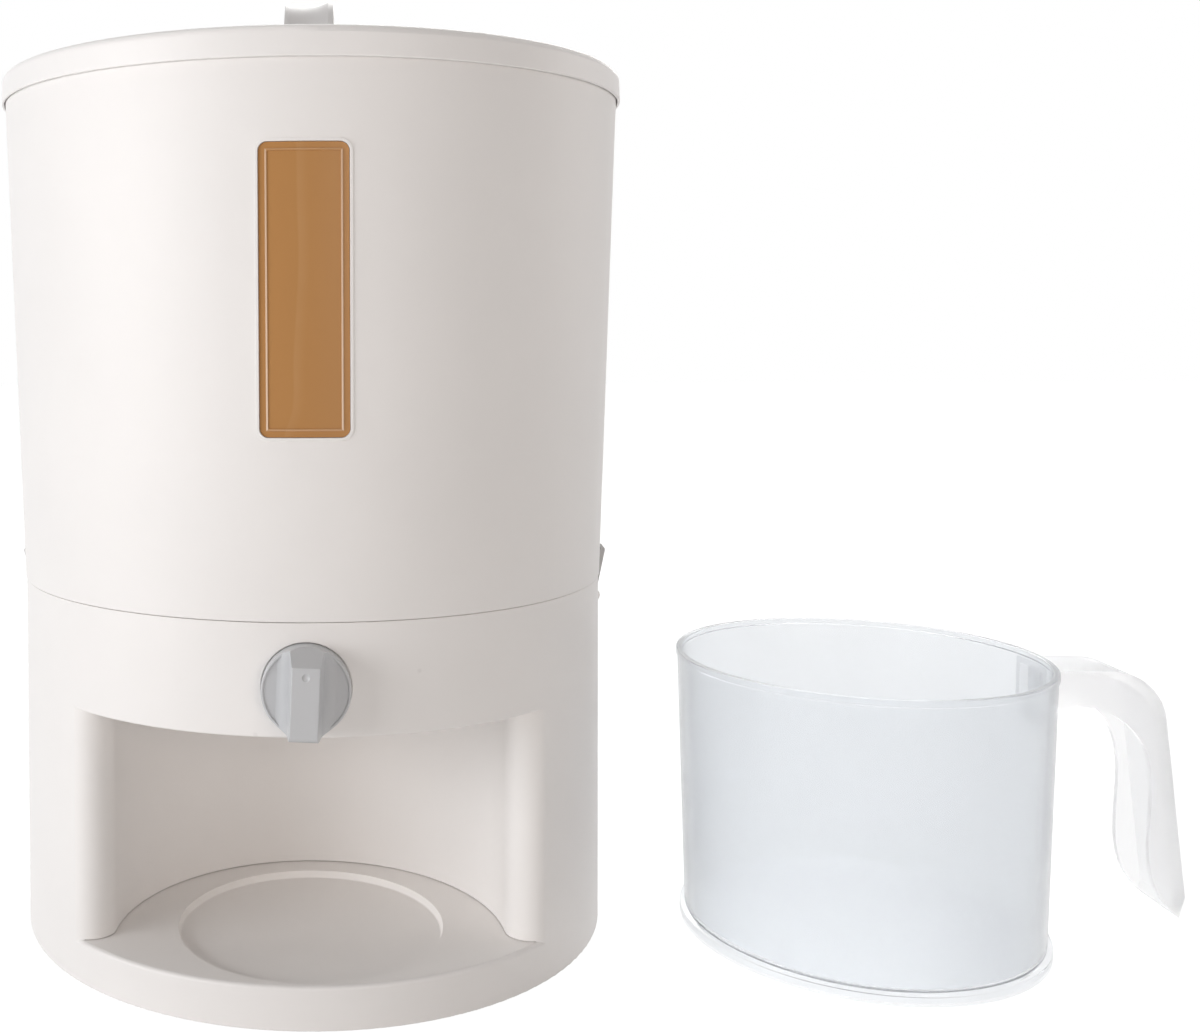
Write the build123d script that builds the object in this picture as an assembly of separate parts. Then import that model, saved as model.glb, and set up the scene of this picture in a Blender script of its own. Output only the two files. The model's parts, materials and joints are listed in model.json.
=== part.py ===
from build123d import *

import os
from math import cos, radians, sin

# Rice dispenser: a round hopper tank on a base with an open bay, a front knob that turns
# a rotary valve, a press-on lid with a grip, two side latches and a loose measuring cup.
# Millimetres. +Z is up, the front looks along -Y, and the origin is on the floor under
# the axis of the tank. An azimuth is counted from the front, positive towards +X.

os.makedirs("parts", exist_ok=True)

# ---------------------------------------------------------------- base
BASE_RADIUS = 131.4
BASE_TOP = 156.75
BASE_WALL = 2.6
BASE_BOTTOM = 1.0
EDGE_ROUND = 1.6
LINTEL = 113.1
CEILING = 2.4
BAY_RADIUS = 80.4
BAY_BACK_Y = -5.8
BAY_WALL_GAP = 0.35
PILLAR_ROUND = 10.0
PILLAR_RUN_OUT = 0.25
LINTEL_ROUND = 0.8
SPIGOT_HEIGHT = 8.0
SPIGOT_ROOT = 6.0
SPIGOT_WALL = 2.4
RIB = 1.8
BACK_RIBS = (140.0, 180.0, 220.0)

# ---------------------------------------------------------------- bay floor plate
FLOOR_TOP = 18.2
BAND_WALL = 1.8
PLATE_THICKNESS = 2.6
PLATE_PLAY = 0.1
PLATE_SKIRT_BOTTOM = 3.0
DISH_RADIUS = 55.4
DISH_CENTRE_Y = -72.6
DISH_DEPTH = 3.0
DISH_SLOPE = 0.8
DISH_BEAD = 0.7
PLATE_RIB_AZIMUTHS = (0.0, 90.0, 180.0, 270.0)
FOOT_RADIUS = 8.0
FOOT_HEIGHT = 4.2
FOOT_POCKET = 2.0
FOOT_WALL = 2.0
FOOT_INSET = 20.0
FOOT_AZIMUTHS = (45.0, 135.0, 225.0, 315.0)
PLATE_SCREW_INSET = 19.0
PLATE_SCREW_AZIMUTHS = (80.0, 145.0, 215.0, 280.0)

# ---------------------------------------------------------------- screws
SCREW_RADIUS = 1.5
SCREW_HEAD_RADIUS = 3.3
SCREW_HEAD = 2.0
SCREW_LENGTH = 10.0
SCREW_PLAY = 0.3
PILOT_PLAY = 0.03
BOSS_RADIUS = 4.2

# ---------------------------------------------------------------- tank, hopper, window
SEAM = 0.3
SEAM_ROUND = 0.3
TANK_OVERHANG = 0.4
TANK_FLARE = 7.5
TANK_WALL = 2.4
SPIGOT_PLAY = 0.4
STOP_THICKNESS = 2.4
LEDGE = 3.0
LEDGE_THICKNESS = 2.2
HOPPER_RIM = 217.9
HOPPER_WALL = 2.4
HOPPER_PLAY = 0.4
HOPPER_LIP = 4.0
NECK_RADIUS = 19.5
NECK_WALL = 2.2
NECK_LENGTH = 8.0
OUTLET_Y = -40.0
WINDOW_WIDTH = 34.1
WINDOW_HEIGHT = 109.9
WINDOW_CENTRE = 281.7
WINDOW_CORNER = 3.5
WINDOW_STEP = 3.0
WINDOW_PLAY = 0.15
WINDOW_SINK = 0.5
LENS_FLANGE = 1.1
LENS_BORDER = 0.9
LENS_BORDER_INSET = 2.5
LENS_BORDER_RISE = 0.45
RIM_WIDTH = 1.3
RIM_RISE = 0.4
RIM_ROUND = 0.25
GASKET_THICKNESS = 0.9
FRAME_MARGIN = 4.0
FRAME_DEPTH = 2.2

# ---------------------------------------------------------------- lid
LID_TOP = 379.4
LID_SKIRT_WALL = 1.05
LID_THICKNESS = 2.6
LID_SKIRT = 12.0
LID_PLAY = 0.35
LID_EDGE_ROUND = 3.2
LID_RIM_WIDTH = 9.0
LID_SINK = 1.4
PLUG_DEPTH = 15.0
PLUG_WALL = 2.2
SEAL_THICKNESS = 1.4
SEAL_HEIGHT = 6.0
SEAL_LIP = 0.9
SEAL_PLAY = 0.35

# ---------------------------------------------------------------- grip on the lid
GRIP_RISE = 37.1
GRIP_HALF_SPAN = 46.0
GRIP_WIDTH = 22.0
GRIP_THICKNESS = 3.4
GRIP_FLANGE = 1.6
GRIP_BROAD_FLANGE = 2.6
GRIP_SLANT = 1.3
GRIP_HOLLOW = 1.3
GRIP_FOOT_LENGTH = 17.0
GRIP_FOOT_MARGIN = 2.2
GRIP_FOOT_HEIGHT = 4.2
GRIP_SCREW_SPACING = 13.0
GRIP_SCREW_LENGTH = 3.4
GRIP_PAD = 2.0

# ---------------------------------------------------------------- knob, shaft, rotary valve
KNOB_RADIUS = 17.0
KNOB_ABOVE_LINTEL = 2.1
DRIVE_TURN = 2.5
KNOB_POCKET_DEPTH = 1.6
KNOB_POCKET_PLAY = 0.45
KNOB_BACK_GAP = 0.5
KNOB_DISC = 6.6
KNOB_RIM = 1.0
KNOB_SINK = 0.6
KNOB_ROUND = 0.6
GRIP_BAR_HEIGHT = 21.1
GRIP_BAR_FRONT = 10.6
GRIP_BAR_FLANK = 12.6
GRIP_BAR_ROOT = 22.4
GRIP_BAR_KNEE = 11.4
GRIP_BAR_TOP = 12.3
GRIP_BAR_BOTTOM = 15.0
GRIP_BAR_ROUND = 0.5
GRIP_BAR_HEEL_ROUND = 2.0
DIMPLE_RADIUS = 1.5
DIMPLE_DEPTH = 0.6
DIMPLE_HEIGHT = 8.8
KNOB_SHELL = 1.6
KNOB_BOSS_RADIUS = 8.0
SHAFT_RADIUS = 5.0
SHAFT_FLAT = 3.9
SHAFT_IN_KNOB = 11.6
SHAFT_PLAY = 0.08
TENON = 7.0
TENON_LENGTH = 6.2
TENON_PLAY = 0.05
BUSH_WALL = 2.5
BUSH_FLANGE = 2.4
BUSH_FLANGE_RADIUS = 10.0
BUSH_LENGTH = 15.4
BUSH_BOSS_WALL = 3.4
CLIP_RING_RADIUS = 7.6
CLIP_RING = 0.8
GROOVE_DEPTH = 0.7
GROOVE_PLAY = 0.1
DRUM_RADIUS = 13.6
DRUM_PLAY = 0.3
DRUM_FRONT = 8.0
DRUM_BACK = 4.0
DRUM_JOURNAL_RADIUS = 4.0
DRUM_JOURNAL = 4.0
PORT_WIDTH = 16.0
PORT_LENGTH = 26.0
DRUM_SLOT = 13.0
VALVE_WALL = 2.4
VALVE_END_PLAY = 0.3
SPOUT_DROP = 3.0
SPOUT_PLAY = 0.4
COLLAR_PLAY = 0.5
COLLAR_HEIGHT = 5.5
OUTLET_GASKET = 2.0
OUTLET_GASKET_WIDTH = 1.6
COLLAR_RISE = 17.8
VALVE_FOOT_WIDTH = 64.0
VALVE_FOOT_LENGTH = 42.0
VALVE_FOOT_RISE = 5.3
VALVE_SCREW_INSET = 6.0

# ---------------------------------------------------------------- side latches
LATCH_AZIMUTH = 104.0
LATCH_WIDTH = 26.0
LATCH_PIN_RADIUS = 1.2
LATCH_PIN_PLAY = 0.08
LATCH_BARREL = 2.6
LATCH_WALL_GAP = 0.6
LATCH_DROP = 17.7
LATCH_TIP_RISE = 5.9
LATCH_FLARE = 10.7
LATCH_PLATE = 2.2
LATCH_CHEEK = 1.6
LUG_WIDTH = 3.6
LUG_GAP = 0.4
LUG_RADIUS = 2.9
CATCH_BOTTOM = 0.3
CATCH_HEIGHT = 1.4
CATCH_REACH = 1.8
CATCH_MARGIN = 3.0
HOOK_GAP = 0.3
HOOK_THICKNESS = 1.4
HOOK_OVERLAP = 1.1

# ---------------------------------------------------------------- measuring cup
CUP_X = 244.0
CUP_Y = -30.5
CUP_FOOT_RADIUS = 77.2
CUP_HEIGHT = 121.5
CUP_RIM_FLARE = 1.9
CUP_WAIST = 2.2
CUP_WALL = 2.2
CUP_BOTTOM = 2.4
CUP_FOOT_RING = 2.0
CUP_FLANGE = 4.4
CUP_BEAD = 3.0
HANDLE_WIDTH = 29.0
HANDLE_SKIN = 2.6
HANDLE_REACH = 56.6
HANDLE_SHOULDER = 45.5
HANDLE_BEND = 23.5
HANDLE_END = 18.6
HANDLE_NOSE = 9.4
HANDLE_TOP_DROP = 0.8
HANDLE_ROOT = 23.7
HANDLE_CROWN = 20.0
HANDLE_CROWN_DEPTH = 17.1
HANDLE_KNEE = 37.8
HANDLE_KNEE_DEPTH = 32.0
HANDLE_WAIST = 41.7
HANDLE_WAIST_DEPTH = 60.7
HANDLE_HEEL_DEPTH = 87.0
HANDLE_SEAT = 0.05
TAB_WIDTH = 11.0
TAB_HEIGHT = 7.0
TAB_REACH = 3.3

# ---------------------------------------------------------------- values worked out from these
BAY_CENTRE_Y = BAY_BACK_Y - BAY_RADIUS
FOOT_CIRCLE = BASE_RADIUS - FOOT_INSET
PLATE_SCREW_CIRCLE = BASE_RADIUS - PLATE_SCREW_INSET
PLATE_RADIUS = BASE_RADIUS - BAND_WALL - PLATE_PLAY
PLATE_BOTTOM = FLOOR_TOP - PLATE_THICKNESS
TANK_BOTTOM = BASE_TOP + SEAM
TANK_BOTTOM_RADIUS = BASE_RADIUS + TANK_OVERHANG
TANK_TOP_RADIUS = TANK_BOTTOM_RADIUS + TANK_FLARE
LID_RADIUS = TANK_TOP_RADIUS + LID_PLAY + LID_SKIRT_WALL
TANK_RIM = LID_TOP - LID_THICKNESS
STOP_BOTTOM = BASE_TOP + SPIGOT_HEIGHT
HOPPER_SEAT = HOPPER_RIM - HOPPER_WALL
KNOB_Z = LINTEL + KNOB_ABOVE_LINTEL + KNOB_RADIUS
POCKET_Y = -BASE_RADIUS + KNOB_POCKET_DEPTH
KNOB_BACK_Y = POCKET_Y - KNOB_BACK_GAP
BUSH_RADIUS = SHAFT_RADIUS + BUSH_WALL
BUSH_END_Y = POCKET_Y + BUSH_LENGTH
DRUM_FRONT_Y = OUTLET_Y - PORT_LENGTH / 2 - DRUM_FRONT
DRUM_BACK_Y = OUTLET_Y + PORT_LENGTH / 2 + DRUM_BACK
BORE_RADIUS = DRUM_RADIUS + DRUM_PLAY
BORE_FRONT_Y = DRUM_FRONT_Y - VALVE_END_PLAY
BORE_BACK_Y = DRUM_BACK_Y + VALVE_END_PLAY
VALVE_RADIUS = BORE_RADIUS + VALVE_WALL
COLLAR_FLOOR = KNOB_Z + COLLAR_RISE
NECK_BOTTOM = COLLAR_FLOOR + OUTLET_GASKET
COLLAR_RADIUS = NECK_RADIUS + OUTLET_GASKET_WIDTH + COLLAR_PLAY
LATCH_PIN_R = BASE_RADIUS + LATCH_WALL_GAP + LATCH_BARREL
LATCH_PIN_Z = BASE_TOP - LATCH_DROP
CUP_RIM_RADIUS = CUP_FOOT_RADIUS + CUP_RIM_FLARE
GRIP_RADIUS = (GRIP_HALF_SPAN**2 + GRIP_RISE**2) / (2 * GRIP_RISE)
GRIP_DECK = LID_TOP - LID_SINK + GRIP_PAD
GRIP_CENTRE_Z = LID_TOP + GRIP_RISE - GRIP_RADIUS


# ---------------------------------------------------------------- helpers
def tank_radius(z):
    """Outer radius of the tapered tank at a height."""
    share = (z - TANK_BOTTOM) / (TANK_RIM - TANK_BOTTOM)
    return TANK_BOTTOM_RADIUS + (TANK_TOP_RADIUS - TANK_BOTTOM_RADIUS) * share


def tank_bore(z):
    """Inner radius of the tank at a height."""
    return tank_radius(z) - TANK_WALL


def outline(*corners):
    """Closed face through corners (a, b), or (a, b, radius) where a corner is rounded."""
    points = [corner[:2] for corner in corners]
    radii = [corner[2] if len(corner) > 2 else 0 for corner in corners]
    return make_face(FilletPolyline(*points, radius=radii, close=True))


def turned(*corners):
    """Solid of revolution about +Z from corners given as radius and height."""
    return revolve(Plane.XZ * outline(*corners), Axis.Z)


def ring(outer, inner, low, high):
    """Plain ring about +Z."""
    return Pos(0, 0, low) * extrude(Circle(outer) - Circle(inner), high - low)


def disc(radius, low, high, x=0.0, y=0.0):
    """Plain upright cylinder between two heights."""
    return Pos(x, y, low) * extrude(Circle(radius), high - low)


def block(low, high):
    """Box between two corners."""
    size = [b - a for a, b in zip(low, high)]
    return Pos(*low) * Box(*size, align=(Align.MIN, Align.MIN, Align.MIN))


def rod(radius, front_y, back_y, x=0.0, z=KNOB_Z):
    """Cylinder along Y between two values of y."""
    middle = (front_y + back_y) / 2
    return Pos(x, middle, z) * Rot(90, 0, 0) * Cylinder(radius, back_y - front_y)


def polar(radius, azimuth):
    """Point in plan at an azimuth counted from the front."""
    return radius * sin(radians(azimuth)), -radius * cos(radians(azimuth))


def radial_plane(azimuth):
    """Upright plane through the axis: its x runs outwards and its y runs up."""
    x, y = polar(1, azimuth)
    outwards = Vector(x, y, 0)
    return Plane(origin=(0, 0, 0), x_dir=outwards, z_dir=outwards.cross(Vector(0, 0, 1)))


def slab(plane, face, half):
    """Face on a plane, thickened by half to both sides."""
    return extrude(plane * Pos(0, 0, -half) * face, 2 * half)


def radial_rib(azimuth, inner, outer, low, high, thickness=RIB):
    """Upright rib that runs outwards between two radii."""
    face = outline((inner, low), (outer, low), (outer, high), (inner, high))
    return slab(radial_plane(azimuth), face, thickness / 2)


def screw(x, y, z, length, head_up=True):
    """Pan-head screw whose head sits on height z."""
    sign = 1 if head_up else -1
    head = disc(SCREW_HEAD_RADIUS, min(z, z + sign * SCREW_HEAD), max(z, z + sign * SCREW_HEAD), x, y)
    head = fillet(head.edges().filter_by(GeomType.CIRCLE).sort_by(Axis.Z)[-1 if head_up else 0], 0.8)
    shank = disc(SCREW_RADIUS, min(z, z - sign * length), max(z, z - sign * length), x, y)
    return head + shank


def bay_plan():
    """Plan left beside and behind the bay, with its two front edges rounded."""
    plan = Circle(BASE_RADIUS + PILLAR_RUN_OUT) - Pos(0, BAY_CENTRE_Y) * Circle(BAY_RADIUS)
    return fillet(plan.vertices().sort_by(Axis.Y)[:2], PILLAR_ROUND)


def valve_screw_places():
    """Plan positions of the four screws that hold the valve body."""
    reach_x = VALVE_FOOT_WIDTH / 2 - VALVE_SCREW_INSET
    reach_y = VALVE_FOOT_LENGTH / 2 - VALVE_SCREW_INSET
    return [(i * reach_x, OUTLET_Y + j * reach_y) for i in (-1, 1) for j in (-1, 1)]


def grip_screw_places():
    """Plan positions of the screws under the feet of the grip."""
    reach = GRIP_HALF_SPAN - GRIP_THICKNESS
    half = GRIP_SCREW_SPACING / 2
    return [(i * half, j * reach) for i in (-1, 1) for j in (-1, 1)]


# ---------------------------------------------------------------- base
def base_housing():
    plan = bay_plan()
    inside = BASE_RADIUS - BASE_WALL
    band_bore = BASE_RADIUS - BAND_WALL
    middle = BASE_RADIUS - BASE_WALL / 2
    wall_foot = FLOOR_TOP + BAY_WALL_GAP
    spigot_radius = tank_bore(TANK_BOTTOM) - SPIGOT_PLAY
    spigot_bore = spigot_radius - SPIGOT_WALL
    body = turned(
        (BASE_RADIUS, BASE_BOTTOM, 0.6),
        (BASE_RADIUS, BASE_TOP, SEAM_ROUND),
        (spigot_radius, BASE_TOP),
        (spigot_radius, STOP_BOTTOM),
        (spigot_bore, STOP_BOTTOM),
        (spigot_bore, BASE_TOP - SPIGOT_ROOT),
        (inside, BASE_TOP - 2 * SPIGOT_ROOT),
        (inside, wall_foot),
        (band_bore, wall_foot),
        (band_bore, BASE_BOTTOM),
    )

    # the bay: cut it out of the wall, soften both long edges, then close it with its own
    # wall and roof, whose edges are buried in the middle of the outer wall
    body -= Pos(0, 0, FLOOR_TOP) * extrude(Circle(2 * BASE_RADIUS) - plan, LINTEL - FLOOR_TOP)
    body = fillet(bay_edge(body, FLOOR_TOP), EDGE_ROUND)
    body = fillet(bay_edge(body, LINTEL), LINTEL_ROUND)
    wall = (plan - offset(plan, -BASE_WALL)) & Circle(middle)
    body += Pos(0, 0, wall_foot) * extrude(wall, LINTEL + CEILING - wall_foot)
    core = offset(plan, -BASE_WALL / 2)
    body += Pos(0, 0, LINTEL) * extrude(Circle(middle) - core, CEILING)

    # ribs behind the bay, and the bosses that the floor plate is screwed to
    rib_room = Pos(0, 0, FLOOR_TOP) * extrude(core, LINTEL - FLOOR_TOP)
    for azimuth in BACK_RIBS:
        body += radial_rib(azimuth, 0, middle, FLOOR_TOP + 4 * RIB, LINTEL) & rib_room
    for azimuth in PLATE_SCREW_AZIMUTHS:
        x, y = polar(PLATE_SCREW_CIRCLE, azimuth)
        top = FLOOR_TOP + 2 * SCREW_LENGTH
        body += radial_rib(azimuth, PLATE_SCREW_CIRCLE, middle, top - SCREW_LENGTH, top)
        body += disc(BOSS_RADIUS, FLOOR_TOP, top, x, y)
        body -= disc(SCREW_RADIUS + PILOT_PLAY, FLOOR_TOP, FLOOR_TOP + SCREW_LENGTH, x, y)

    # round pocket for the knob, with the boss of the shaft's bush behind it
    bush_boss = BUSH_RADIUS + BUSH_BOSS_WALL
    body += rod(bush_boss, POCKET_Y, BUSH_END_Y - BUSH_FLANGE)
    body -= rod(KNOB_RADIUS + KNOB_POCKET_PLAY, -BASE_RADIUS - 1, POCKET_Y)
    body -= rod(BUSH_RADIUS, POCKET_Y - 1, BUSH_END_Y)

    # bay ceiling: the spout's opening and the bosses of the valve
    half_x = PORT_WIDTH / 2 + VALVE_WALL + SPOUT_PLAY
    half_y = PORT_LENGTH / 2 + VALVE_WALL + SPOUT_PLAY
    low = (-half_x, OUTLET_Y - half_y, LINTEL - 1)
    body -= block(low, (half_x, OUTLET_Y + half_y, LINTEL + CEILING + 1))
    for x, y in valve_screw_places():
        body += disc(BOSS_RADIUS, LINTEL + CEILING, LINTEL + CEILING + VALVE_FOOT_RISE, x, y)
        body -= disc(SCREW_RADIUS + PILOT_PLAY, LINTEL + CEILING, LINTEL + 2 * CEILING + VALVE_FOOT_RISE, x, y)

    for side in (-1, 1):
        body += latch_lugs(side)
    return body


def bay_edge(body, height):
    """Long outer edge of the bay at a height."""
    circles = body.edges().filter_by(GeomType.CIRCLE)
    return circles.filter_by(
        lambda edge: abs(edge.radius - BASE_RADIUS) < SEAM and abs(edge.arc_center.Z - height) < SEAM
    )


def latch_lugs(side):
    """Two ears on the base that hold a latch's pin."""
    plane = radial_plane(side * LATCH_AZIMUTH)
    ear = Pos(LATCH_PIN_R, LATCH_PIN_Z) * Circle(LUG_RADIUS)
    root = BASE_RADIUS - BASE_WALL / 2
    ear += outline(
        (root, LATCH_PIN_Z - LUG_RADIUS),
        (LATCH_PIN_R, LATCH_PIN_Z - LUG_RADIUS),
        (LATCH_PIN_R, LATCH_PIN_Z + LUG_RADIUS),
        (root, LATCH_PIN_Z + LUG_RADIUS),
    )
    ear -= Pos(LATCH_PIN_R, LATCH_PIN_Z) * Circle(LATCH_PIN_RADIUS)
    inner = LATCH_WIDTH / 2 + LUG_GAP
    lugs = slab(plane, ear, inner + LUG_WIDTH)
    return lugs - slab(plane, Rectangle(3 * BASE_RADIUS, 3 * BASE_TOP), inner)


def floor_plate():
    body = disc(PLATE_RADIUS, PLATE_BOTTOM, FLOOR_TOP)
    body += ring(PLATE_RADIUS, PLATE_RADIUS - RIB, PLATE_SKIRT_BOTTOM, PLATE_BOTTOM)
    dish_floor = FLOOR_TOP - DISH_DEPTH
    body += disc(DISH_RADIUS + RIB, dish_floor - PLATE_THICKNESS, PLATE_BOTTOM, y=DISH_CENTRE_Y) & disc(
        PLATE_RADIUS, 0, FLOOR_TOP
    )
    for azimuth in PLATE_RIB_AZIMUTHS:
        rib_radius = FOOT_RADIUS + FOOT_WALL / 2
        body += radial_rib(azimuth, rib_radius, PLATE_RADIUS - RIB / 2, PLATE_SKIRT_BOTTOM, PLATE_BOTTOM)
    for x, y in foot_places():
        body += disc(FOOT_RADIUS + FOOT_WALL, FOOT_HEIGHT - FOOT_POCKET, PLATE_BOTTOM, x, y)
        body -= disc(FOOT_RADIUS, 0, FOOT_HEIGHT, x, y)
    for azimuth in PLATE_SCREW_AZIMUTHS:
        x, y = polar(PLATE_SCREW_CIRCLE, azimuth)
        body -= disc(SCREW_RADIUS + SCREW_PLAY, 0, FLOOR_TOP, x, y)
        body -= disc(SCREW_HEAD_RADIUS + SCREW_PLAY, 0, PLATE_BOTTOM, x, y)
    dish = turned(
        (0, FLOOR_TOP + 1),
        (0, dish_floor),
        (DISH_RADIUS - DISH_SLOPE, dish_floor, DISH_BEAD),
        (DISH_RADIUS, FLOOR_TOP),
        (DISH_RADIUS, FLOOR_TOP + 1),
    )
    return body - Pos(0, DISH_CENTRE_Y, 0) * dish


def foot_places():
    """Plan positions of the rubber feet: one under the axis and one in each quarter."""
    return [(0.0, 0.0)] + [polar(FOOT_CIRCLE, azimuth) for azimuth in FOOT_AZIMUTHS]


def rubber_feet():
    return Compound(children=[disc(FOOT_RADIUS, 0, FOOT_HEIGHT, x, y) for x, y in foot_places()])


def plate_screws():
    places = [polar(PLATE_SCREW_CIRCLE, azimuth) for azimuth in PLATE_SCREW_AZIMUTHS]
    length = PLATE_THICKNESS + SCREW_LENGTH - 1
    return Compound(children=[screw(x, y, PLATE_BOTTOM, length, head_up=False) for x, y in places])


# ---------------------------------------------------------------- rotary valve
def turned_drive(body):
    """Body of the knob's drive, turned a little open as it stands."""
    return Pos(0, 0, KNOB_Z) * Rot(0, DRIVE_TURN, 0) * Pos(0, 0, -KNOB_Z) * body


def valve_body():
    end_wall = BORE_BACK_Y + VALVE_WALL
    port_x = PORT_WIDTH / 2 + VALVE_WALL
    port_y = PORT_LENGTH / 2 + VALVE_WALL
    collar = COLLAR_RADIUS + VALVE_WALL
    body = rod(VALVE_RADIUS, BORE_FRONT_Y, end_wall)
    body += rod(DRUM_JOURNAL_RADIUS + VALVE_WALL, end_wall, BORE_BACK_Y + DRUM_JOURNAL + VALVE_WALL)
    body += block(
        (-port_x, OUTLET_Y - port_y, LINTEL - SPOUT_DROP), (port_x, OUTLET_Y + port_y, COLLAR_FLOOR)
    )
    body += disc(collar, COLLAR_FLOOR - VALVE_WALL, COLLAR_FLOOR + COLLAR_HEIGHT, y=OUTLET_Y)
    foot_bottom = LINTEL + CEILING + VALVE_FOOT_RISE
    foot = RectangleRounded(VALVE_FOOT_WIDTH, VALVE_FOOT_LENGTH, BOSS_RADIUS)
    body += Pos(0, OUTLET_Y, foot_bottom) * extrude(foot, VALVE_WALL)
    body -= disc(COLLAR_RADIUS, COLLAR_FLOOR, COLLAR_FLOOR + COLLAR_HEIGHT + 1, y=OUTLET_Y)
    body -= rod(BORE_RADIUS, BORE_FRONT_Y - 1, BORE_BACK_Y)
    body -= rod(DRUM_JOURNAL_RADIUS + SHAFT_PLAY, BORE_BACK_Y - 1, BORE_BACK_Y + DRUM_JOURNAL)
    body -= block(
        (-PORT_WIDTH / 2, OUTLET_Y - PORT_LENGTH / 2, LINTEL - SPOUT_DROP - 1),
        (PORT_WIDTH / 2, OUTLET_Y + PORT_LENGTH / 2, COLLAR_FLOOR + 1),
    )
    for x, y in valve_screw_places():
        body -= disc(SCREW_RADIUS + SCREW_PLAY, foot_bottom - 1, foot_bottom + VALVE_WALL + 1, x, y)
    return body


def valve_cover():
    body = rod(VALVE_RADIUS, BORE_FRONT_Y - VALVE_WALL, BORE_FRONT_Y)
    top = COLLAR_FLOOR - VALVE_WALL - VALVE_END_PLAY
    body -= block((-VALVE_RADIUS, -BASE_RADIUS, top), (VALVE_RADIUS, BASE_RADIUS, BASE_TOP))
    return body - rod(SHAFT_RADIUS + DRUM_PLAY, BORE_FRONT_Y - VALVE_WALL - 1, BORE_FRONT_Y + 1)


def valve_screws():
    seat = LINTEL + CEILING + VALVE_FOOT_RISE + VALVE_WALL
    length = VALVE_WALL + VALVE_FOOT_RISE
    return Compound(children=[screw(x, y, seat, length) for x, y in valve_screw_places()])


def outlet_gasket():
    return Pos(0, OUTLET_Y, 0) * ring(
        COLLAR_RADIUS - COLLAR_PLAY, NECK_RADIUS - NECK_WALL, COLLAR_FLOOR, NECK_BOTTOM
    )


def valve_drum():
    body = rod(DRUM_RADIUS, DRUM_FRONT_Y, DRUM_BACK_Y)
    body += rod(DRUM_JOURNAL_RADIUS, DRUM_BACK_Y, DRUM_BACK_Y + DRUM_JOURNAL)
    half = DRUM_SLOT / 2
    reach = DRUM_RADIUS + 1
    body -= block(
        (-reach, OUTLET_Y - PORT_LENGTH / 2, KNOB_Z - half),
        (reach, OUTLET_Y + PORT_LENGTH / 2, KNOB_Z + half),
    )
    socket = TENON / 2 + TENON_PLAY
    body -= block(
        (-socket, DRUM_FRONT_Y - 1, KNOB_Z - socket),
        (socket, DRUM_FRONT_Y + TENON_LENGTH + DRUM_PLAY, KNOB_Z + socket),
    )
    return turned_drive(body)


def drive_shaft():
    front = KNOB_BACK_Y - SHAFT_IN_KNOB
    body = rod(SHAFT_RADIUS, front, DRUM_FRONT_Y)
    half = TENON / 2
    body += block((-half, DRUM_FRONT_Y, KNOB_Z - half), (half, DRUM_FRONT_Y + TENON_LENGTH, KNOB_Z + half))
    body -= block(
        (-SHAFT_RADIUS, front - 1, KNOB_Z + SHAFT_FLAT), (SHAFT_RADIUS, KNOB_BACK_Y, KNOB_Z + SHAFT_RADIUS)
    )
    groove_front, groove_back = groove()
    body -= rod(SHAFT_RADIUS + 1, groove_front, groove_back) - rod(
        SHAFT_RADIUS - GROOVE_DEPTH, groove_front, groove_back
    )
    return turned_drive(body)


def groove():
    """Both faces of the shaft's groove, just behind the bush."""
    front = BUSH_END_Y + GROOVE_PLAY
    return front, front + CLIP_RING + 2 * GROOVE_PLAY


def shaft_bush():
    body = rod(BUSH_RADIUS, POCKET_Y, BUSH_END_Y)
    body += rod(BUSH_FLANGE_RADIUS, BUSH_END_Y - BUSH_FLANGE, BUSH_END_Y)
    return body - rod(SHAFT_RADIUS + SHAFT_PLAY, POCKET_Y - 1, BUSH_END_Y + 1)


def shaft_clip():
    """Open spring ring in the shaft's groove."""
    front, back = groove()
    front, back = front + GROOVE_PLAY, back - GROOVE_PLAY
    body = rod(CLIP_RING_RADIUS, front, back)
    bore = SHAFT_RADIUS - GROOVE_DEPTH + TENON_PLAY
    body -= rod(bore, front - 1, back + 1)
    mouth = 0.85 * bore
    return turned_drive(body - block((-mouth, front - 1, KNOB_Z - CLIP_RING_RADIUS - 1), (mouth, back + 1, KNOB_Z)))


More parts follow.
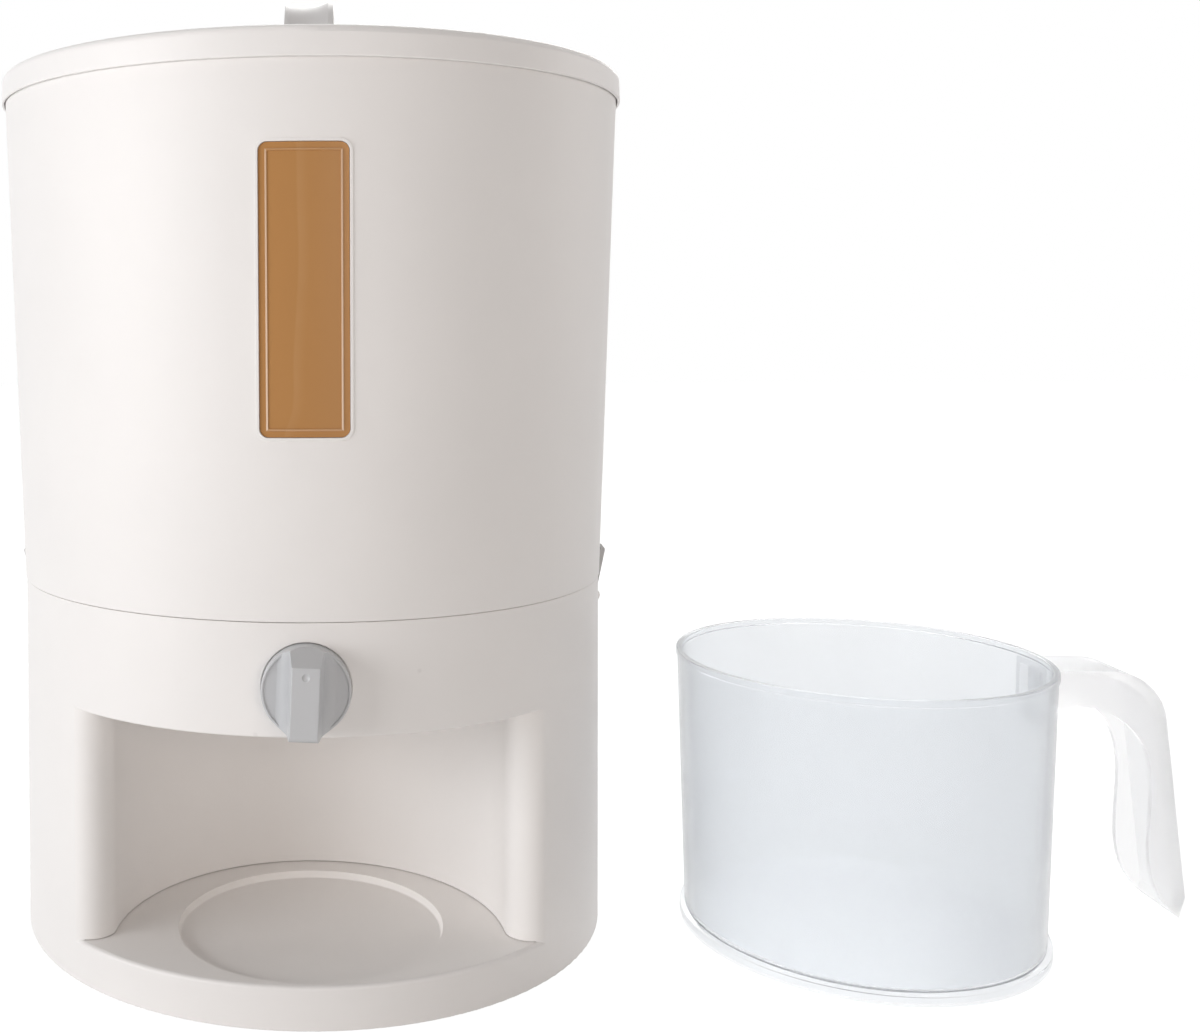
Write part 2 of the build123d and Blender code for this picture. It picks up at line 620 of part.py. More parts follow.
def knob():
    """Round knob with a waisted grip bar; local z runs out to the front, local y up."""
    face_z = KNOB_DISC - KNOB_SINK
    inner_rim = KNOB_RADIUS - KNOB_RIM
    body = turned(
        (0, 0),
        (KNOB_RADIUS, 0),
        (KNOB_RADIUS, KNOB_DISC, KNOB_ROUND),
        (inner_rim, KNOB_DISC, KNOB_SINK / 3),
        (inner_rim, face_z),
        (0, face_z),
    )
    # waisted grip bar: steep flanks that flare out tangentially onto the disc
    front, root = GRIP_BAR_FRONT / 2, GRIP_BAR_ROOT / 2
    flank = Line((front, GRIP_BAR_HEIGHT), (GRIP_BAR_FLANK / 2, GRIP_BAR_KNEE))
    flare = TangentArc((GRIP_BAR_FLANK / 2, GRIP_BAR_KNEE), (root, face_z), tangent=flank % 1)
    half = flank + flare + Polyline((root, face_z), (root, KNOB_SHELL), (0, KNOB_SHELL))
    section = make_face(half + mirror(half, Plane.YZ) + Line((-front, GRIP_BAR_HEIGHT), (front, GRIP_BAR_HEIGHT)))
    section = fillet(section.vertices().sort_by(Axis.Y)[-2:], GRIP_BAR_ROUND)
    bar = slab(Plane.XZ, section, 1.5 * KNOB_RADIUS)
    side = outline(
        (-2 * KNOB_RADIUS, 0),
        (-2 * KNOB_RADIUS, KNOB_DISC),
        (-KNOB_RADIUS, KNOB_DISC),
        (-GRIP_BAR_BOTTOM, GRIP_BAR_HEIGHT, GRIP_BAR_HEEL_ROUND),
        (GRIP_BAR_TOP, GRIP_BAR_HEIGHT, GRIP_BAR_ROUND),
        (KNOB_RADIUS, KNOB_DISC),
        (2 * KNOB_RADIUS, KNOB_DISC),
        (2 * KNOB_RADIUS, 0),
    )
    bar = bar & slab(Plane.YZ, side, KNOB_RADIUS)
    body += bar - ring(3 * KNOB_RADIUS, KNOB_RADIUS, -1, 2 * GRIP_BAR_HEIGHT)

    # hollow back with the boss that takes the shaft's flatted end
    body -= ring(KNOB_RADIUS - KNOB_SHELL, KNOB_BOSS_RADIUS, -1, face_z - KNOB_SHELL)
    socket = disc(SHAFT_RADIUS + TENON_PLAY, -1, SHAFT_IN_KNOB + DRUM_PLAY)
    flat = SHAFT_FLAT + TENON_PLAY
    body -= socket - block((-KNOB_RADIUS, flat, -1), (KNOB_RADIUS, KNOB_RADIUS, GRIP_BAR_HEIGHT))
    ball = (DIMPLE_RADIUS**2 + DIMPLE_DEPTH**2) / (2 * DIMPLE_DEPTH)
    body -= Pos(0, DIMPLE_HEIGHT, GRIP_BAR_HEIGHT - DIMPLE_DEPTH + ball) * Sphere(ball)
    return turned_drive(Plane((0, KNOB_BACK_Y, KNOB_Z), x_dir=(1, 0, 0), z_dir=(0, -1, 0)) * body)


# ---------------------------------------------------------------- tank and hopper
def tank_band(outer, inner, low, high):
    """Ring that follows the tank's taper, between two depths under its outer face."""
    return turned(
        (tank_radius(low) - outer, low),
        (tank_radius(high) - outer, high),
        (tank_radius(high) - inner, high),
        (tank_radius(low) - inner, low),
    )


def window_prism(shrink):
    """Rounded upright prism through the front wall, smaller all round by shrink."""
    corner = max(WINDOW_CORNER - shrink, 0.4)
    face = RectangleRounded(WINDOW_WIDTH - 2 * shrink, WINDOW_HEIGHT - 2 * shrink, corner)
    return extrude(Plane.XZ * Pos(0, WINDOW_CENTRE) * face, TANK_TOP_RADIUS + 10)


def window_patch(shrink, outer, inner):
    """Curved plate in the window, between two depths under the tank's outer face."""
    margin = WINDOW_HEIGHT / 2 - shrink + 1
    return tank_band(outer, inner, WINDOW_CENTRE - margin, WINDOW_CENTRE + margin) & window_prism(shrink)


def tank():
    stop_top = STOP_BOTTOM + STOP_THICKNESS
    stop_radius = tank_bore(TANK_BOTTOM) - SPIGOT_PLAY - SPIGOT_WALL
    ledge_bottom = HOPPER_SEAT - LEDGE_THICKNESS
    body = turned(
        (tank_radius(TANK_BOTTOM), TANK_BOTTOM, SEAM_ROUND),
        (tank_radius(TANK_RIM), TANK_RIM, 0.6),
        (tank_bore(TANK_RIM), TANK_RIM),
        (tank_bore(HOPPER_SEAT), HOPPER_SEAT),
        (tank_bore(HOPPER_SEAT) - LEDGE, HOPPER_SEAT),
        (tank_bore(HOPPER_SEAT) - LEDGE, ledge_bottom),
        (tank_bore(ledge_bottom - LEDGE), ledge_bottom - LEDGE),
        (tank_bore(stop_top), stop_top),
        (stop_radius, stop_top),
        (stop_radius, STOP_BOTTOM),
        (tank_bore(STOP_BOTTOM), STOP_BOTTOM),
        (tank_bore(TANK_BOTTOM), TANK_BOTTOM),
    )
    body += window_patch(-FRAME_MARGIN, TANK_WALL / 2, TANK_WALL + FRAME_DEPTH)
    body += window_rim()
    body -= window_patch(0, -1, window_floor())
    body -= window_prism(WINDOW_STEP) & tank_band(-1, 4 * TANK_WALL, HOPPER_RIM, TANK_RIM)
    for side in (-1, 1):
        plane = radial_plane(side * LATCH_AZIMUTH)
        low = TANK_BOTTOM + CATCH_BOTTOM
        reach = tank_radius(low) + CATCH_REACH
        inner = tank_radius(low) - TANK_WALL / 2
        face = outline((inner, low), (reach, low + 0.3), (reach, low + CATCH_HEIGHT), (inner, low + CATCH_HEIGHT))
        body += slab(plane, face, LATCH_WIDTH / 2 - CATCH_MARGIN)
    return body


def window_rim():
    """Narrow raised rim round the window's opening, with softened edges."""
    rim = window_patch(-RIM_WIDTH, -RIM_RISE, TANK_WALL / 2) - window_prism(0)
    return soften_front(rim)


def soften_front(body):
    """Round the edges of a thin frame's curved front face."""
    front = body.faces().filter_by(GeomType.CONE).sort_by(Axis.Y)[0]
    return fillet(front.edges(), RIM_ROUND)


def window_floor():
    """Depth of the step that the window's gasket lies on."""
    return WINDOW_SINK + LENS_FLANGE + GASKET_THICKNESS


def window_gasket():
    outer = WINDOW_SINK + LENS_FLANGE
    body = window_patch(WINDOW_PLAY, outer, window_floor())
    return body - window_prism(WINDOW_STEP)


def window_lens():
    back = WINDOW_SINK + LENS_FLANGE
    body = window_patch(WINDOW_PLAY, WINDOW_SINK, back)
    body += window_patch(WINDOW_STEP + WINDOW_PLAY, back - 0.1, TANK_WALL + FRAME_DEPTH)
    border = window_patch(LENS_BORDER_INSET, WINDOW_SINK - LENS_BORDER_RISE, back)
    return body + soften_front(border - window_prism(LENS_BORDER_INSET + LENS_BORDER))


def hopper():
    rim_radius = tank_bore(HOPPER_SEAT) - HOPPER_PLAY
    cone_radius = tank_bore(HOPPER_SEAT) - LEDGE - HOPPER_PLAY
    neck_top = NECK_BOTTOM + NECK_LENGTH
    outside = loft(
        [
            Pos(0, OUTLET_Y, neck_top) * Circle(NECK_RADIUS),
            Pos(0, 0, HOPPER_SEAT) * Circle(cone_radius),
        ],
        ruled=True,
    )
    inside = loft(
        [
            Pos(0, OUTLET_Y, neck_top + HOPPER_WALL) * Circle(NECK_RADIUS - NECK_WALL),
            Pos(0, 0, HOPPER_RIM) * Circle(cone_radius),
        ],
        ruled=True,
    )
    body = outside + disc(rim_radius, HOPPER_SEAT, HOPPER_RIM) - inside
    body += ring(rim_radius, rim_radius - NECK_WALL, HOPPER_RIM, HOPPER_RIM + HOPPER_LIP)
    body += disc(NECK_RADIUS, NECK_BOTTOM, neck_top, y=OUTLET_Y)
    return body - disc(NECK_RADIUS - NECK_WALL, NECK_BOTTOM - 1, neck_top + HOPPER_WALL, y=OUTLET_Y)


# ---------------------------------------------------------------- lid
def lid():
    skirt_bottom = LID_TOP - LID_SKIRT
    bore = TANK_TOP_RADIUS + LID_PLAY
    plug = plug_radius()
    plug_bottom = TANK_RIM - PLUG_DEPTH
    sunk_radius = LID_RADIUS - LID_RIM_WIDTH
    deck = LID_TOP - LID_SINK
    under = deck - LID_THICKNESS
    body = turned(
        (0, deck),
        (0, under),
        (plug - PLUG_WALL, under),
        (plug - PLUG_WALL, plug_bottom),
        (plug, plug_bottom, 0.6),
        (plug, TANK_RIM),
        (bore, TANK_RIM),
        (bore, skirt_bottom),
        (LID_RADIUS, skirt_bottom, 0.5),
        (LID_RADIUS - 0.4, LID_TOP, LID_EDGE_ROUND),
        (sunk_radius, LID_TOP, 1.0),
        (sunk_radius - LID_SINK, deck, 1.0),
    )
    reach = GRIP_HALF_SPAN + GRIP_FOOT_LENGTH / 2
    pad = RectangleRounded(GRIP_WIDTH + 5 * GRIP_FOOT_MARGIN, 2 * reach, 6 * GRIP_FOOT_MARGIN)
    body += Pos(0, 0, deck) * extrude(pad, GRIP_PAD)
    for x, y in grip_screw_places():
        body -= disc(SCREW_RADIUS + SCREW_PLAY, under - 1, GRIP_DECK + 1, x, y)
    return body


def plug_radius():
    """Outer radius of the lid's plug ring, inside the tank's mouth and its seal."""
    return tank_bore(TANK_RIM - PLUG_DEPTH) - SEAL_PLAY - SEAL_LIP - SEAL_THICKNESS


def lid_seal():
    """Soft ring round the plug, with two lips."""
    inner = plug_radius()
    outer = inner + SEAL_THICKNESS
    low = TANK_RIM - PLUG_DEPTH + 1
    high = low + SEAL_HEIGHT
    quarter = SEAL_HEIGHT / 4
    return turned(
        (inner, low),
        (outer, low),
        (outer + SEAL_LIP, low + quarter / 2),
        (outer + SEAL_LIP, low + quarter),
        (outer, low + 1.5 * quarter),
        (outer, high - 1.5 * quarter),
        (outer + SEAL_LIP, high - quarter),
        (outer + SEAL_LIP, high - quarter / 2),
        (outer, high),
        (inner, high),
    )


def lid_grip():
    """Arched strap with a hollowed outer face between two flanges, on two feet."""
    half = GRIP_WIDTH / 2
    inner = GRIP_RADIUS - GRIP_THICKNESS
    low_side = (GRIP_FLANGE - half, GRIP_RADIUS)
    high_side = (half - GRIP_BROAD_FLANGE, GRIP_RADIUS + GRIP_SLANT)
    hollow = (low_side[1] + high_side[1]) / 2 - GRIP_HOLLOW
    section = Polyline(
        high_side, (half, high_side[1]), (half, inner), (-half, inner), (-half, GRIP_RADIUS), low_side
    )
    section += ThreePointArc(low_side, (0, hollow), high_side)
    section = make_face(section)
    section = fillet(section.vertices().filter_by(lambda v: abs(v.X) > half - 0.01), 0.5)
    body = Pos(0, 0, GRIP_CENTRE_Z) * revolve(section, Axis.X)
    below = 2 * GRIP_RADIUS
    cut = GRIP_DECK + (GRIP_FOOT_HEIGHT + GRIP_SCREW_LENGTH) / 2
    body -= block((-below, -below, cut - 2 * below), (below, below, cut))
    reach = GRIP_HALF_SPAN - GRIP_THICKNESS
    pad = RectangleRounded(GRIP_WIDTH + 2 * GRIP_FOOT_MARGIN, GRIP_FOOT_LENGTH, GRIP_FOOT_MARGIN)
    pilot = Circle(SCREW_RADIUS + PILOT_PLAY)
    for side in (-1, 1):
        foot = Pos(0, side * reach, GRIP_DECK) * extrude(pad, GRIP_FOOT_HEIGHT)
        foot = fillet(foot.edges().group_by(Axis.Z)[-1], 0.8)
        for turn in (-1, 1):
            place = Pos(turn * GRIP_SCREW_SPACING / 2, side * reach, GRIP_DECK)
            foot -= place * extrude(pilot, GRIP_SCREW_LENGTH)
        body += foot
    return body


def grip_screws():
    seat = LID_TOP - LID_SINK - LID_THICKNESS
    length = GRIP_DECK - seat + GRIP_SCREW_LENGTH - 0.5
    return Compound(children=[screw(x, y, seat, length, head_up=False) for x, y in grip_screw_places()])


# ---------------------------------------------------------------- side latches
def latch(side):
    """Lever on the base that hooks over a catch on the tank, with a flared finger tip."""
    catch_top = TANK_BOTTOM + CATCH_BOTTOM + CATCH_HEIGHT
    hook_bottom = catch_top + HOOK_GAP
    hook_top = hook_bottom + HOOK_THICKNESS
    tip_z = TANK_BOTTOM + LATCH_TIP_RISE
    flare = BASE_RADIUS + LATCH_FLARE
    root = LATCH_PIN_R + LATCH_BARREL
    catch_reach = tank_radius(TANK_BOTTOM) + CATCH_REACH
    plate = outline(
        (root - LATCH_PLATE, LATCH_PIN_Z),
        (flare - LATCH_PLATE, hook_top),
        (flare - 1.5 * LATCH_PLATE, tip_z, 0.5),
        (flare - LATCH_PLATE, tip_z + 0.2, 0.5),
        (flare, hook_top, 1.5),
        (root, LATCH_PIN_Z),
    )
    hook = outline(
        (flare - LATCH_PLATE / 2, hook_bottom),
        (catch_reach - HOOK_OVERLAP, hook_bottom),
        (catch_reach - HOOK_OVERLAP, hook_bottom + HOOK_THICKNESS / 2),
        (catch_reach, hook_top),
        (flare - LATCH_PLATE / 2, hook_top),
    )
    cheek = outline(
        (LATCH_PIN_R, LATCH_PIN_Z),
        (catch_reach + HOOK_GAP, LATCH_PIN_Z + 2 * LATCH_BARREL),
        (catch_reach + HOOK_GAP, hook_bottom),
        (flare - LATCH_PLATE / 2, hook_bottom),
        (root - LATCH_PLATE / 2, LATCH_PIN_Z),
    )
    plane = radial_plane(side * LATCH_AZIMUTH)
    half = LATCH_WIDTH / 2
    barrel = Pos(LATCH_PIN_R, LATCH_PIN_Z) * Circle(LATCH_BARREL)
    body = slab(plane, barrel + plate, half) + slab(plane, hook, half)
    body += slab(plane, cheek, half) - slab(plane, cheek, half - LATCH_CHEEK)
    bore = Pos(LATCH_PIN_R, LATCH_PIN_Z) * Circle(LATCH_PIN_RADIUS + LATCH_PIN_PLAY)
    return body - slab(plane, bore, half + 1)


def latch_pins():
    reach = LATCH_WIDTH / 2 + LUG_GAP + LUG_WIDTH
    circle = Pos(LATCH_PIN_R, LATCH_PIN_Z) * Circle(LATCH_PIN_RADIUS)
    return Compound(
        children=[slab(radial_plane(side * LATCH_AZIMUTH), circle, reach) for side in (-1, 1)]
    )


# ---------------------------------------------------------------- measuring cup
def cup_radius(z):
    """Outer radius of the cup's wall at a height above its own foot."""
    waist = CUP_FOOT_RADIUS - CUP_WAIST
    share = (z - CUP_FLANGE) / (CUP_HEIGHT - CUP_FLANGE)
    return waist + (CUP_RIM_RADIUS - 0.5 - waist) * share


def measuring_cup():
    """Tapered cup with a foot flange and a rim bead."""
    bead = CUP_HEIGHT - CUP_BEAD
    floor = CUP_FOOT_RING + CUP_BOTTOM
    body = turned(
        (0, floor),
        (0, CUP_FOOT_RING),
        (CUP_FOOT_RADIUS - 2 * CUP_WALL - 1, CUP_FOOT_RING),
        (CUP_FOOT_RADIUS - 2 * CUP_WALL, 0),
        (CUP_FOOT_RADIUS, 0, 0.5),
        (CUP_FOOT_RADIUS, CUP_FLANGE, 0.5),
        (cup_radius(CUP_FLANGE), CUP_FLANGE + 0.6),
        (cup_radius(bead), bead),
        (CUP_RIM_RADIUS, bead + 0.4),
        (CUP_RIM_RADIUS, CUP_HEIGHT, 0.6),
        (cup_radius(CUP_HEIGHT) - CUP_WALL, CUP_HEIGHT, 0.6),
        (cup_radius(floor) - CUP_WALL, floor, 2.0),
    )
    # small socket that the handle's tab hooks into
    root = CUP_HEIGHT - HANDLE_ROOT
    tab = block(
        (cup_radius(root) - CUP_WALL / 2, -TAB_WIDTH / 2 - CUP_WALL, root - TAB_HEIGHT),
        (cup_radius(root) + TAB_REACH, TAB_WIDTH / 2 + CUP_WALL, root),
    )
    tab -= block(
        (cup_radius(root), -TAB_WIDTH / 2, root - TAB_HEIGHT + CUP_WALL / 2),
        (cup_radius(root) + TAB_REACH - CUP_WALL / 2, TAB_WIDTH / 2, root + 1),
    )
    return Pos(CUP_X, CUP_Y, 0) * (body + tab)


def cup_handle():
    """Open hook handle: a curved strap with a cheek on each side."""
    top = CUP_HEIGHT - CUP_BEAD - HANDLE_TOP_DROP
    shoulder = CUP_RIM_RADIUS + HANDLE_SHOULDER
    tip = CUP_RIM_RADIUS + HANDLE_REACH
    root = CUP_HEIGHT - HANDLE_ROOT
    start = CUP_RIM_RADIUS - 3 * CUP_WALL
    nose = (tip - HANDLE_SKIN, HANDLE_NOSE)
    outer = FilletPolyline((start, top), (shoulder, top - 0.6), (tip, HANDLE_END), radius=HANDLE_BEND)
    inner = Spline(
        nose,
        (CUP_RIM_RADIUS + HANDLE_WAIST, top - HANDLE_HEEL_DEPTH),
        (CUP_RIM_RADIUS + HANDLE_WAIST, top - HANDLE_WAIST_DEPTH),
        (CUP_RIM_RADIUS + HANDLE_KNEE, top - HANDLE_KNEE_DEPTH),
        (CUP_RIM_RADIUS + HANDLE_CROWN, top - HANDLE_CROWN_DEPTH),
        (CUP_RIM_RADIUS, root),
    )
    ends = Line((tip, HANDLE_END), nose) + Polyline((CUP_RIM_RADIUS, root), (start, root), (start, top))
    side = make_face(outer + ends + inner)
    half = HANDLE_WIDTH / 2
    body = slab(Plane.XZ, side, half)
    shift = Pos(-1.6 * HANDLE_SKIN, -HANDLE_SKIN) * side
    body -= slab(Plane.XZ, shift, half - HANDLE_SKIN)
    root_cut = turned(
        (0, 0),
        (cup_radius(CUP_FLANGE) + HANDLE_SEAT, CUP_FLANGE),
        (cup_radius(CUP_HEIGHT) + HANDLE_SEAT, CUP_HEIGHT),
        (0, CUP_HEIGHT),
    )
    body -= root_cut
    tab = block(
        (cup_radius(root) + 0.1, -TAB_WIDTH / 2 + 0.1, root - TAB_HEIGHT + CUP_WALL / 2 + 0.2),
        (cup_radius(root) + TAB_REACH - CUP_WALL / 2 - 0.1, TAB_WIDTH / 2 - 0.1, top - HANDLE_SKIN / 2),
    )
    body += tab - root_cut
    return Pos(CUP_X, CUP_Y, 0) * body


PIECES = {
    "base_housing": base_housing,
    "floor_plate": floor_plate,
    "rubber_feet": rubber_feet,
    "plate_screws": plate_screws,
    "valve_body": valve_body,
    "valve_cover": valve_cover,
    "valve_screws": valve_screws,
    "outlet_gasket": outlet_gasket,
    "valve_drum": valve_drum,
    "drive_shaft": drive_shaft,
    "shaft_bush": shaft_bush,
    "shaft_clip": shaft_clip,
    "knob": knob,
    "tank": tank,
    "window_gasket": window_gasket,
    "window_lens": window_lens,
    "hopper": hopper,
    "lid": lid,
    "lid_seal": lid_seal,
    "lid_grip": lid_grip,
    "grip_screws": grip_screws,
    "latch_right": lambda: latch(1),
    "latch_left": lambda: latch(-1),
    "latch_pins": latch_pins,
    "measuring_cup": measuring_cup,
    "cup_handle": cup_handle,
}

for name, make in PIECES.items():
    export_step(make(), os.path.join("parts", name + ".step"))
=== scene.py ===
# %% [markdown]
# # Rice dispenser and measuring cup
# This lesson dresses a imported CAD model: a round hopper bin on a base, with a knob, a
# window, a lid and a loose measuring cup. The shapes and their places come from the model
# and stay where they are. What is made here is the finish of every part, some fine detail,
# the light and the camera.

# %% Load the frame
import json
import math

import bmesh
import bpy
from mathutils import Matrix, Vector


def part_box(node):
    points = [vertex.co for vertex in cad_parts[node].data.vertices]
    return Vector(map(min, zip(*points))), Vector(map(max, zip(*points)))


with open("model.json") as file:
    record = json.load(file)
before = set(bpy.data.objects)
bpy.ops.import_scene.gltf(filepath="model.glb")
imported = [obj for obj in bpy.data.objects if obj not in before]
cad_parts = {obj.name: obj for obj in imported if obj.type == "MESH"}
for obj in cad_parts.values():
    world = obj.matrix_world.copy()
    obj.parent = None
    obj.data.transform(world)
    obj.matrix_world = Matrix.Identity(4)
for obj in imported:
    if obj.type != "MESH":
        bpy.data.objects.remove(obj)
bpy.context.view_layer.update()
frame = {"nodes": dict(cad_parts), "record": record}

# %% [markdown]
# A new Blender file holds a cube, a lamp and a camera. They go first, so that only the
# frame's own parts are left.

# %% Clear the stock objects
for stock_name in ("Cube", "Light", "Camera"):
    stock = bpy.data.objects.get(stock_name)
    if stock is not None:
        bpy.data.objects.remove(stock)
scene = bpy.context.scene
nodes = frame["nodes"]
print("parts in the frame:", len(nodes))

# %% [markdown]
# The photograph was taken from about 65 cm in front of the bin's axis, a little above the
# middle of the bin, and the bin fills its left half. A camera tilted down to frame the bin
# and the cup would make their upright edges lean. So this one looks almost straight ahead,
# and its frame is shifted instead, as with a shift lens.

# %% Camera
LENS = 42.0
SENSOR = 36.0
SHIFT_X = 0.24
SHIFT_Y = -0.1276
CAMERA_AT = Vector((0.012935, -0.655, 0.26771))
PITCH = math.radians(1.466)
YAW = math.radians(1.123)
ROLL = math.radians(-0.239)
camera_data = bpy.data.cameras.new("camera")
camera_data.lens = LENS
camera_data.sensor_width = SENSOR
camera_data.shift_x = SHIFT_X
camera_data.shift_y = SHIFT_Y
camera = bpy.data.objects.new("camera", camera_data)
scene.collection.objects.link(camera)
turn = Matrix.Rotation(YAW, 3, "Z") @ Matrix.Rotation(math.pi / 2 - PITCH, 3, "X")
turn = turn @ Matrix.Rotation(ROLL, 3, "Z")
camera.matrix_world = Matrix.Translation(CAMERA_AT) @ turn.to_4x4()
scene.camera = camera
print("camera at", [round(v, 4) for v in camera.matrix_world.translation])

# %% [markdown]
# Every finish below is a small network of nodes. Typing each node out makes a lesson hard
# to read, so helpers come first. One makes an empty material, one adds a node and sets its
# sockets by name, one does a sum, and one puts a shader on the material's output.

# %% Helpers for node networks
def new_material(name):
    """Material with an empty network and its output node."""
    material = bpy.data.materials.new(name)
    material.use_nodes = True
    tree = material.node_tree
    tree.nodes.clear()
    output = tree.nodes.new("ShaderNodeOutputMaterial")
    return material, tree, output


def add(tree, kind, links=None, **sockets):
    """Node with its sockets set by name, and inputs linked from other nodes' sockets."""
    made = tree.nodes.new("ShaderNode" + kind)
    for socket, value in sockets.items():
        made.inputs[socket.replace("_", " ")].default_value = value
    for socket, source in (links or {}).items():
        tree.links.new(source, made.inputs[socket])
    return made


def math_node(tree, operation, first, second=None, third=None):
    """Result of a Math node; each of its inputs is a number or another node's socket."""
    made = tree.nodes.new("ShaderNodeMath")
    made.operation = operation
    for index, value in enumerate((first, second, third)):
        if isinstance(value, (int, float)):
            made.inputs[index].default_value = value
        elif value is not None:
            tree.links.new(value, made.inputs[index])
    return made.outputs[0]


def principled(tree, output, links, **sockets):
    """Put a Principled shader on the material's output."""
    shader = add(tree, "BsdfPrincipled", links, **sockets)
    tree.links.new(shader.outputs["BSDF"], output.inputs["Surface"])


print("node helpers ready")

# %% [markdown]
# Moulded plastic is one even colour, yet a perfectly even surface looks computed. On the
# real bin the highlight is broken up by a grain finer than a millimetre, wide panels are
# slightly wavy because the plastic shrinks as it cools, and the gloss varies a little
# where the mould was polished. All three come from noise in Object coordinates, which
# stay on the part when it moves. These helpers make the noise, bring it to the range that
# a finish needs, and turn it into a colour.

# %% Noise, ranges and colour ramps
def noise(tree, place, scale, detail):
    """Noise at a place, which is a socket with coordinates."""
    return add(tree, "TexNoise", {"Vector": place}, Scale=scale, Detail=detail).outputs["Fac"]


def remap(tree, value, low, high, smooth=False):
    """Value in another range; low and high each pair an input with its result."""
    made = add(tree, "MapRange", {"Value": value})
    if smooth:
        made.interpolation_type = "SMOOTHSTEP"
    for end, (before, after) in (("Min", low), ("Max", high)):
        made.inputs["From " + end].default_value = before
        made.inputs["To " + end].default_value = after
    return made.outputs["Result"]


def drift(tree, share, middle, reach):
    """Share from 0 to 1 brought to a range that reaches as far below a middle as above."""
    return remap(tree, share, (0.0, middle - reach), (1.0, middle + reach))


def ramp(tree, share, low_color, high_color, edges=(0.0, 1.0)):
    """Colour between two; edges are the shares where the change starts and ends."""
    made = add(tree, "ValToRGB", {"Fac": share})
    stops = zip(made.color_ramp.elements, edges, (low_color, high_color))
    for stop, position, color in stops:
        stop.position = position
        stop.color = (*color, 1)
    return made.outputs["Color"]


print("noise helpers ready")

# %% [markdown]
# With these, the plastic itself is short. The height of the grain and the waves goes to a
# Bump node, in metres. The colour and the gloss drift together over the same broad clouds.

# %% Finish for moulded plastic
GRAIN = 0.0005
GRAIN_DEPTH = 4e-6
CLOUD = 0.06
CLOUD_EDGES = (0.35, 0.65)
WAVE_DEPTH = 6e-5
GLOSS_DRIFT = 0.04


def moulded_surface(tree, place, grain_depth, wave_depth):
    """Bump from fine grain on top of a broad, shallow waviness."""
    grain = noise(tree, place, scale=1 / GRAIN, detail=2.0)
    wave = noise(tree, place, scale=1 / CLOUD, detail=1.0)
    height = math_node(tree, "MULTIPLY", wave, wave_depth)
    height = math_node(tree, "MULTIPLY_ADD", grain, grain_depth, height)
    bump = add(tree, "Bump", {"Height": height}, Strength=1.0, Distance=1.0)
    return bump.outputs["Normal"]


def plastic(name, color, roughness, shade=0.02, grain_depth=GRAIN_DEPTH):
    """Moulded plastic in one colour; shade is how much darker its clouds are."""
    material, tree, output = new_material(name)
    place = add(tree, "TexCoord").outputs["Object"]
    clouds = noise(tree, place, scale=1 / CLOUD, detail=3.0)
    darker = [value * (1 - shade) for value in color]
    principled(tree, output, {
        "Base Color": ramp(tree, clouds, darker, color, CLOUD_EDGES),
        "Roughness": drift(tree, clouds, roughness, GLOSS_DRIFT),
        "Normal": moulded_surface(tree, place, grain_depth, WAVE_DEPTH),
    })
    return material


print("grain of", GRAIN, "m and clouds of", CLOUD, "m")

# %% [markdown]
# The body is a warm white, which the tank and the base get below with their own traces of
# moulding. The lid is a trace lighter and glossier, and the floor of the bay and the
# hopper are lighter still: part of that is painted light, which brightens the floor of the
# shaded bay. The knob is a cool light grey, the latches and the grip a slightly warm one.
# The hidden parts of the valve are a plain technical plastic.

# %% Colours of the plastic parts
BODY_WHITE = (0.870, 0.846, 0.828)
SATIN = 0.5
PLASTICS = {
    "lid_white": ((0.880, 0.858, 0.842), 0.42),
    # Partly painted light: lighter than the body so that the shaded bay's floor looks brighter.
    "inner_white": ((0.920, 0.893, 0.870), SATIN),
    "knob_grey": ((0.560, 0.567, 0.580), 0.36),
    "latch_grey": ((0.50, 0.49, 0.485), 0.4),
    "valve_plastic": ((0.66, 0.66, 0.65), SATIN),
}
finishes = {}
for name, (color, roughness) in PLASTICS.items():
    finishes[name] = plastic(name, color, roughness)
grip_grey = plastic("grip_grey", (0.680, 0.662, 0.655), 0.42)
print("plastics:", ", ".join(finishes))

# %% [markdown]
# Two traces of moulding show on the body. The first is on the tank. Inside it a ledge
# carries the hopper, and where a wall is backed by a ledge it shrinks more, which leaves a
# faint hollow all the way round outside. The band depends on height alone, so it is a
# smooth step down and up again in Z.

# %% Band round the tank
BAND_Z = 0.2172
BAND_HALF = 0.0022
BAND_DEPTH = 2.5e-5


def add_band(material, middle, half, depth):
    """Add a shallow hollow at one height to the surface of a finished plastic."""
    tree = material.node_tree
    bump_height = tree.nodes["Bump"].inputs["Height"]
    place = tree.nodes["Texture Coordinate"].outputs["Object"]
    split = add(tree, "SeparateXYZ", {"Vector": place})
    away = math_node(tree, "SUBTRACT", split.outputs["Z"], middle)
    away = math_node(tree, "ABSOLUTE", away)
    dip = remap(tree, away, (0.0, -depth), (half, 0.0), smooth=True)
    before = bump_height.links[0].from_socket
    tree.links.new(math_node(tree, "ADD", before, dip), bump_height)


tank_white = plastic("tank_white", BODY_WHITE, SATIN)
add_band(tank_white, BAND_Z, BAND_HALF, BAND_DEPTH)
print("tank band at", BAND_Z)

# %% [markdown]
# The second trace is on the base: two dots the size of a pinhead beside its knob, as small
# ejector pins leave. A dot is the distance to a point. The depth is scaled down first, so
# that the point need not lie exactly on the round wall.

# %% Dots on the base
DOTS = ((0.0430, 0.137), (-0.0194, 0.114))
DOT_RADIUS = 0.0013
DOT_CORE = 0.3 * DOT_RADIUS
DOT_SHADE = 0.11
DOT_COLOR = (0.25, 0.23, 0.21)
DEPTH_SCALE = 0.1
FRONT_DEPTH = -0.128


